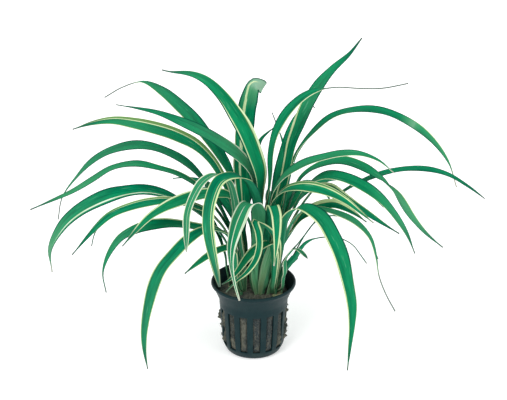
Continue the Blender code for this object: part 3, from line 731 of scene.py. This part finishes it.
def read_stations(node, crown):
    """A blade's stations from foot to tip, read from its solid: the midrib, and the arms to both margins.

    The solid is a row of rings of six corners, two at each margin and two at the midrib.
    """
    bm = bmesh.new()
    bm.from_mesh(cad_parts[node].data)
    bmesh.ops.remove_doubles(bm, verts=bm.verts, dist=0.01 * MM)
    foot = crown_place(crown)[0] * MM
    ring = sorted(bm.verts, key=lambda vert: (vert.co - foot).length)[:6]
    rings, seen = [], set()
    while ring:
        rings.append(np.array([vert.co for vert in ring]) / MM)
        seen.update(ring)
        ring = list({edge.other_vert(vert) for vert in ring for edge in vert.link_edges} - seen)
    bm.free()
    centres = [points.mean(axis=0) for points in rings]
    sections = []
    side = None
    for number, points in enumerate(rings):
        along = unit(centres[min(number + 1, len(rings) - 1)] - centres[max(number - 1, 0)])
        spread = points - centres[number]
        spread -= np.outer(spread @ along, along)
        if side is None:
            side = np.linalg.svd(spread)[2][0]
        side = unit(side - (side @ along) * along)
        ranked = points[np.argsort(spread @ side)]
        minus, middle, plus = ranked[0:2].mean(axis=0), ranked[2:4].mean(axis=0), ranked[4:6].mean(axis=0)
        if number == 0 and np.cross(along, side) @ ((minus + plus) / 2 - middle) < 0:
            minus, plus = plus, minus
        side = unit(plus - minus)
        sections.append((middle, minus - middle, plus - middle))
    return np.array(sections)


def smooth_rows(stations, shares):
    """The stations joined by a smooth curve (Catmull-Rom) and read off at these shares of its length."""
    padded = np.concatenate([2 * stations[:1] - stations[1:2], stations, 2 * stations[-1:] - stations[-2:-1]])
    places = shares * (len(stations) - 1)
    start = np.minimum(places.astype(int), len(stations) - 2)
    t = (places - start)[:, None, None]
    before, first, second, after = (padded[start + shift] for shift in range(4))
    return first + ((second - before) * t + (2 * before - 5 * first + 4 * second - after) * t ** 2
                    + (3 * first - before - 3 * second + after) * t ** 3) / 2


def soft_line(shares, places, values):
    """A line through these values at these places, with its corners eased."""
    line = np.interp(shares, places, values)
    for _ in range(EASING):
        line[1:-1] = (line[:-2] + 2 * line[1:-1] + line[2:]) / 4
    return line


def along_blade(value, shares):
    """One value, or (share, value) pairs, read at every share of the blade's length."""
    return np.interp(shares, *zip(*value)) if isinstance(value, list) else np.full(len(shares), value)


def blade_halves(name, shares, spreads):
    """A blade's half-width at every share: as in its solid at first, then narrowing by its own rule."""
    halves = np.linalg.norm(spreads, axis=1) / 2
    if name in OUTLINES:
        below = shares < OUTLINES[name][0][0]
        return np.where(below, np.minimum(halves, halves[below][-1]), along_blade(OUTLINES[name], shares))
    full, bluntness, thread = FORMS.get(name, FORM)
    fall = 1 - np.clip((shares - full) / (thread - full), 0, 1) ** bluntness
    return np.maximum(np.where(shares < WIDEST_SHARE, halves, halves.max()) * fall, TIP_HALF_WIDTH)


def grow_blade(name, node, crown, seed):
    """The finer blade that stands for a leaf's solid, laid along the same midrib.

    It leaves the solid only by the sways, turns and widths that the tables above give for this leaf.
    """
    stations = read_stations(node, crown)
    end = OUTLINES[name][-1][0] if name in OUTLINES else 1
    shares = np.linspace(0, end, ROWS)
    rows = smooth_rows(stations, shares)
    midrib = rows[:, 0]
    if name in SWAYS:
        places, right, up = zip(*SWAYS[name])
        right, up = soft_line(shares, places, right), soft_line(shares, places, up)
        midrib = midrib + np.stack([right, 0 * shares, up], -1)
    run = np.concatenate([[0], np.cumsum(np.linalg.norm(np.diff(midrib, axis=0), axis=1))])
    spreads = rows[:, 2] - rows[:, 1]
    halves = blade_halves(name, shares, spreads)
    thread = min(FORMS.get(name, FORM)[2], 0.99)
    colouring = {**PLAIN, **COLOURING.get(name, {})}
    coat = {part: along_blade(value, shares) for part, value in colouring.items()}
    bm = bmesh.new()
    bmesh.ops.create_grid(bm, x_segments=ROWS - 1, y_segments=ACROSS, size=0.5)
    blade, margins, streak, tone, age = (bm.verts.layers.float_vector.new(part)
                                         for part in ("blade", "margins", "streak", "tone", "age"))
    body = bm.verts.layers.deform.verify()
    grid = sorted(bm.verts, key=lambda vert: (round(vert.co.x, 4), vert.co.y))
    for row, share in enumerate(shares):
        ahead, behind = midrib[min(row + 1, ROWS - 1)], midrib[max(row - 1, 0)]
        along = unit(ahead - behind)
        side = unit(spreads[row] - (spreads[row] @ along) * along)
        up = np.cross(along, side)
        rise = (rows[row, 1] + rows[row, 2]) @ up / 2 * min(1, halves[row] / np.linalg.norm(spreads[row]) * 2)
        for turn_start, turn_end, degrees in TWISTS.get(name, []):
            turned = max(0.0, min(1.0, (share - turn_start) / (turn_end - turn_start)))
            turn = math.radians(degrees) * turned ** 2 * (3 - 2 * turned)
            side, up = (math.cos(turn) * side + math.sin(turn) * up,
                        math.cos(turn) * up - math.sin(turn) * side)
        near_foot = max(0.0, 1 - share / FOOT_SHARE) ** 2
        half = max(halves[row], halves[row] + (FOOT_HALF_WIDTH - halves[row]) * near_foot)
        dry = max(0.0, min(1.0, (share - thread + DRY_LEAD) / DRY_RUN))
        for column in range(ACROSS + 1):
            across = 2 * column / ACROSS - 1
            vert = grid[row * (ACROSS + 1) + column]
            lift = rise * (math.sqrt(across ** 2 + KEEL ** 2) - KEEL) / (math.sqrt(1 + KEEL ** 2) - KEEL)
            shift = MARGIN_SHIFT if across > 0 else 0
            phase = math.tau * (run[row] / WAVE_LENGTH + WAVE_SHIFT * seed) + shift
            wave = WAVE * across ** 2 * math.sin(phase) * min(1, half / 4) * min(1, 4 * share)
            at_margin = Vector((run[row] / WANDER_LENGTH, seed, math.copysign(3, across)))
            wander = 1 + WANDER * noise.noise(at_margin)
            place = midrib[row] + across * half * wander * side + (lift + wave) * up
            if row == 0:
                place = place - FOOT_DEPTH * along
            vert.co = Vector(place)
            vert[blade] = (across, run[row], seed)
            vert[margins] = (coat["minus"][row], coat["plus"][row], share)
            vert[streak] = (coat["stripe"][row], coat["stripe_half"][row], coat["olive"][row])
            vert[tone] = (coat["white"][row], coat["pale"][row], 0)
            vert[age] = (dry, coat["husk"][row], 0)
            thin = 1 - (1 - MARGIN_THINNESS) * abs(across) ** 0.8
            vert[body][0] = thin * min(1, 0.85 + half / 20)
    piece = add_piece("blade_" + name, bm, [node], "leaf", upper_face, under_face)
    piece.vertex_groups.new(name="body")
    wall = piece.modifiers.new("thickness", "SOLIDIFY")
    wall.thickness = BLADE * MM
    wall.offset = 0
    wall.vertex_group = "body"
    wall.material_offset = 1


def leaf_skin(name, greens, haze, rib, variegation):
    """Variegated leaf skin, veined along the blade: greens (deep, full, light) between pale margins.

    haze: how far all of it is paler; rib: how broad the midrib is; variegation: how broad the pale parts are.
    """
    finish = Finish(name, specular_ior_level=0.02)
    across, run, seed = finish.parts(finish.own("blade"))
    minus, plus, share = finish.parts(finish.own("margins"))
    stripe, stripe_half, olive = finish.parts(finish.own("streak"))
    white, sheen_amount, _ = finish.parts(finish.own("tone"))
    dry, husk, _ = finish.parts(finish.own("age"))

    def grain(wide, along, shift, detail=2.0, roughness=0.5):
        """Noise laid along the blade: this fine across and along it, and different on every leaf."""
        at = finish.vector(across * wide, run * along, seed * shift)
        return finish.cloud(1.0, detail, roughness, at)

    veins = grain(11, 0.010, 7.3, roughness=0.6)
    fine = grain(34, 0.018, 3.1)
    drift = grain(0.8, 0.016, 5.7)
    patch = grain(2.0, 0.05, 1.9, 3.0, 0.6)
    gleam = grain(5.0, 0.08, 4.3)

    # the pale margins narrow towards the foot, and their inner edges wander and fray along the veins
    width = minus + (plus - minus) * finish.math("GREATER_THAN", across, 0.0)
    inward = 1 - abs(across)
    breadth = (0.6 + 0.8 * drift) * variegation * finish.step(share, 0.04, 0.30, 0.4, 1.0)
    edge = inward - width * breadth - 0.14 * (veins - 0.5) * finish.step(width, 0.0, 0.12)
    margin = finish.step(edge, 0.03, -0.035) * finish.step(width, 0.0, 0.03)
    on_stripe = abs(across - stripe - 0.05 * (drift - 0.5)) - stripe_half * (0.6 + 0.8 * veins)
    streaked = finish.step(on_stripe, 0.035, -0.02) * finish.step(stripe_half, 0.0, 0.015) * variegation
    pale_parts = finish.math("MAXIMUM", margin, streaked)
    line = finish.step(edge, 0.13, 0.05) * finish.step(edge, -0.02, 0.03) * finish.step(width, 0.0, 0.05)
    # painted shade: a darker line along the edges that have no pale margin
    rim = finish.step(inward, 0.24, 0.06) * finish.step(width, 0.05, 0.0)
    beyond = finish.step((across - stripe) * finish.math("SIGN", stripe), 0.03, 0.10) * olive

    deep, full, light = greens
    green = finish.mix(finish.step(patch, 0.35, 0.65), deep, full)
    kind = finish.cloud(1.0, 1.0, 0.5, at=finish.vector(seed * 13.7, 0.4, 0.9))
    green = finish.mix(finish.step(kind, 0.44, 0.62) * 0.3, green, (0.008, 0.235, 0.070))
    green = finish.mix(finish.step(fine, 0.52, 0.70) * 0.3, green, light)
    green = finish.mix(finish.step(veins, 0.50, 0.32) * 0.6, green, deep)
    green = finish.mix(finish.step(abs(across), rib, 0.0) * 0.4, green, light)
    # painted light: the blade is a little lighter on one side of its midrib
    green = finish.mix(finish.step(across, -0.04, 0.10) * 0.3, green, light)
    # painted sheen: the green turns a pale grey-green, standing in for light reflected off the leaf
    sheen_colour = finish.mix(finish.step(sheen_amount, 1.0, 1.7), (0.10, 0.34, 0.165), (0.24, 0.42, 0.29))
    green = finish.mix(sheen_amount * (0.15 + 0.7 * drift), green, sheen_colour)
    # painted highlights: sparse pale glints along the blade
    green = finish.mix(finish.step(gleam, 0.62, 0.74) * 0.6, green, (0.085, 0.34, 0.19))
    green = finish.mix(beyond * 0.75, green, (0.17, 0.29, 0.085))
    green = finish.mix(line * 0.5, green, (0.06, 0.13, 0.03))
    green = finish.mix(rim * 0.95, green, (0.002, 0.070, 0.042))
    cream = finish.mix(white, (0.62, 0.72, 0.33), (0.68, 0.78, 0.64))
    cream = finish.mix(finish.step(fine, 0.54, 0.66) * 0.4, cream, (0.30, 0.50, 0.22))
    cream = finish.mix(finish.step(gleam, 0.56, 0.40) * 0.45, cream, (0.26, 0.44, 0.17))
    colour = finish.mix(pale_parts, green, cream)
    withered = finish.step(share, 0.86, 0.98) * (1 - husk)
    colour = finish.mix(withered * 0.85, colour, (0.010, 0.085, 0.055))
    foot = finish.step(share, 0.22, 0.02)
    colour = finish.mix(foot * 0.6, colour, finish.mix(fine, (0.05, 0.15, 0.06), (0.17, 0.28, 0.14)))
    colour = finish.mix(haze, colour, (0.14, 0.34, 0.22))
    dead = finish.mix(husk, (0.030, 0.075, 0.062), (0.60, 0.58, 0.50))
    finish.feed("Base Color", finish.mix(dry * 0.9, colour, dead))
    finish.feed("Roughness", 0.36 + 0.16 * patch + 0.2 * dry)
    ridges = finish.math("SINE", across * 30 + 3 * veins) * 0.5 + 0.5
    finish.relief(0.5 * ridges + 0.3 * fine + 0.2 * patch, 0.00016, 0.5)
    return finish


# The under face's greens are a little lighter and it is a little hazier: painted light, standing in for light
# shining through the leaf.
UPPER_GREENS = [(0.0, 0.115, 0.056), (0.0, 0.20, 0.087), (0.010, 0.27, 0.11)]
UNDER_GREENS = [(0.0, 0.125, 0.062), (0.004, 0.21, 0.10), (0.030, 0.28, 0.14)]
upper_face = leaf_skin("leaf_upper_face", UPPER_GREENS, 0.0, 0.06, 1.0)
under_face = leaf_skin("leaf_under_face", UNDER_GREENS, 0.03, 0.10, 0.8)
leaf_nodes = sorted(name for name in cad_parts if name.startswith("leaf_"))
for seed, node in enumerate(leaf_nodes):
    name = node.removeprefix("leaf_")
    grow_blade(name, node, name[:-3], seed)


# The studio
# A pale floor that runs out of the picture, two large soft lights from the front and above, an even white
# surround, and the camera at the height and distance from which the plant is seen.
CAMERA_AIM = Vector((0.0, 0.0, 106.0)) * MM
CAMERA_DISTANCE = 1200 * MM
CAMERA_ELEVATION = math.radians(25)
PICTURE_WIDTH = 321.9 * MM
SENSOR = 36.0
FLOOR_HALF_SIZE = 6.0
SURROUND_STRENGTH = 0.84
WHITE = (1.0, 1.0, 1.0, 1.0)


def add_light(name, from_direction, softness, strength):
    """A broad, distant light of a softness in degrees, which lights the floor evenly."""
    lamp = bpy.data.lights.new(name, "SUN")
    lamp.angle = math.radians(softness)
    lamp.energy = strength
    light = bpy.data.objects.new(name, lamp)
    light.rotation_euler = Vector(from_direction).to_track_quat("Z", "Y").to_euler()
    bpy.context.scene.collection.objects.link(light)


bm = bmesh.new()
bmesh.ops.create_grid(bm, x_segments=1, y_segments=1, size=FLOOR_HALF_SIZE)
mesh = bpy.data.meshes.new("floor")
bm.to_mesh(mesh)
bm.free()
floor = bpy.data.objects.new("floor", mesh)
floor_finish = Finish("floor_paper", roughness=0.9, emission_strength=0.32)
paper = floor_finish.mix(floor_finish.cloud(3.0), (0.86, 0.86, 0.86), (0.88, 0.88, 0.88))
floor_finish.feed("Base Color", paper)
mesh.materials.append(floor_finish.material)
bpy.context.scene.collection.objects.link(floor)

add_light("key", (-0.6, -1.0, 1.25), 28, 1.35)
add_light("fill", (1.1, -0.5, 0.9), 50, 0.70)

world = bpy.data.worlds.new("surround")
world.use_nodes = True
surround = world.node_tree.nodes["Background"]
surround.inputs["Color"].default_value = WHITE
surround.inputs["Strength"].default_value = SURROUND_STRENGTH
bpy.context.scene.world = world
bpy.context.scene.view_settings.view_transform = "Standard"

back = Vector((0, -math.cos(CAMERA_ELEVATION), math.sin(CAMERA_ELEVATION)))
lens = bpy.data.cameras.new("camera")
lens.sensor_width = SENSOR
lens.lens = SENSOR * CAMERA_DISTANCE / PICTURE_WIDTH
camera = bpy.data.objects.new("camera", lens)
camera.location = CAMERA_AIM + CAMERA_DISTANCE * back
camera.rotation_euler = (-back).to_track_quat("-Z", "Y").to_euler()
bpy.context.scene.collection.objects.link(camera)
bpy.context.scene.camera = camera
